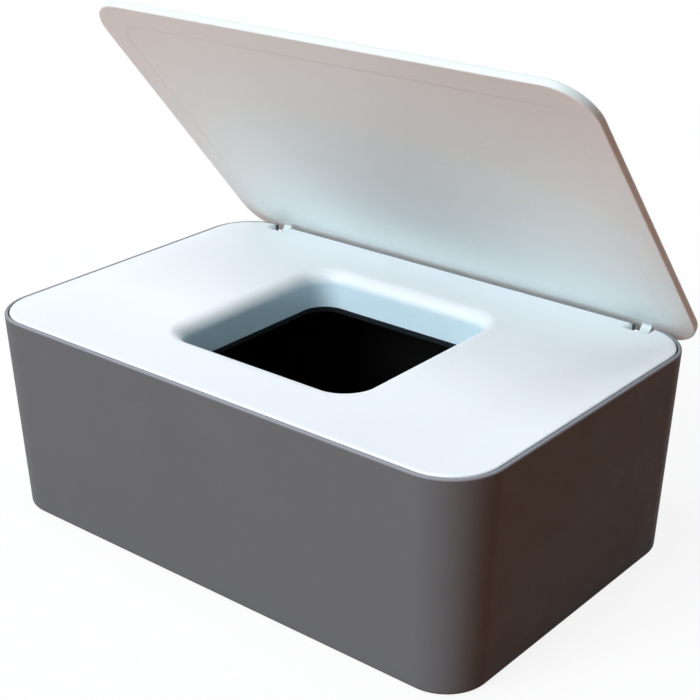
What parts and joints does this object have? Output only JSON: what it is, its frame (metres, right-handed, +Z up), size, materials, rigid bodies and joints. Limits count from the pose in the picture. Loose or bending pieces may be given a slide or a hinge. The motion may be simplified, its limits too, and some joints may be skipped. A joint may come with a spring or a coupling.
{
  "type": "wipes box with hinged lid",
  "caption": "Table-top wipes box: a tapered tub with grip pads, a drop-in tray with a square rolled mouth, and a flat lid on two rear hinge pins.",
  "frame": {"origin": "centre of the tub's underside, on the plane of its standing ring and grip pads", "axes": "+X along the box's length to its right end, +Y to the hinge side at the back, +Z up"},
  "size_m": [0.19, 0.131, 0.1614],
  "materials": {
    "tub_plastic": "fine satin texture",
    "tray_plastic": "satin",
    "lid_plastic": "satin",
    "seal_rubber": "soft matt",
    "ring_rubber": "soft matt",
    "pin_steel": "drawn",
    "pad_rubber": "matt"
  },
  "bodies": {
    "base": {"tub": "tub_plastic", "grip_pad_front_left": "pad_rubber", "grip_pad_front_right": "pad_rubber", "grip_pad_back_left": "pad_rubber", "grip_pad_back_right": "pad_rubber"},
    "tray_unit": {"tray": "tray_plastic", "tray_seal": "seal_rubber", "mouth_ring": "ring_rubber", "hinge_pin_left": "pin_steel", "hinge_pin_right": "pin_steel"},
    "lid": {"lid_shell": "lid_plastic", "lid_liner": "lid_plastic"}
  },
  "joints": [
    {"name": "tray_lift", "type": "slide", "parent": "base", "child": "tray_unit", "axis": [0, 0, 1], "range_m": [0, 0.03]},
    {"name": "lid_hinge", "type": "hinge", "parent": "tray_unit", "child": "lid", "pos_m": [0, 0.0581, 0.0612], "axis": [-1, 0, 0], "range_deg": [-50.5, 49.5]}
  ]
}
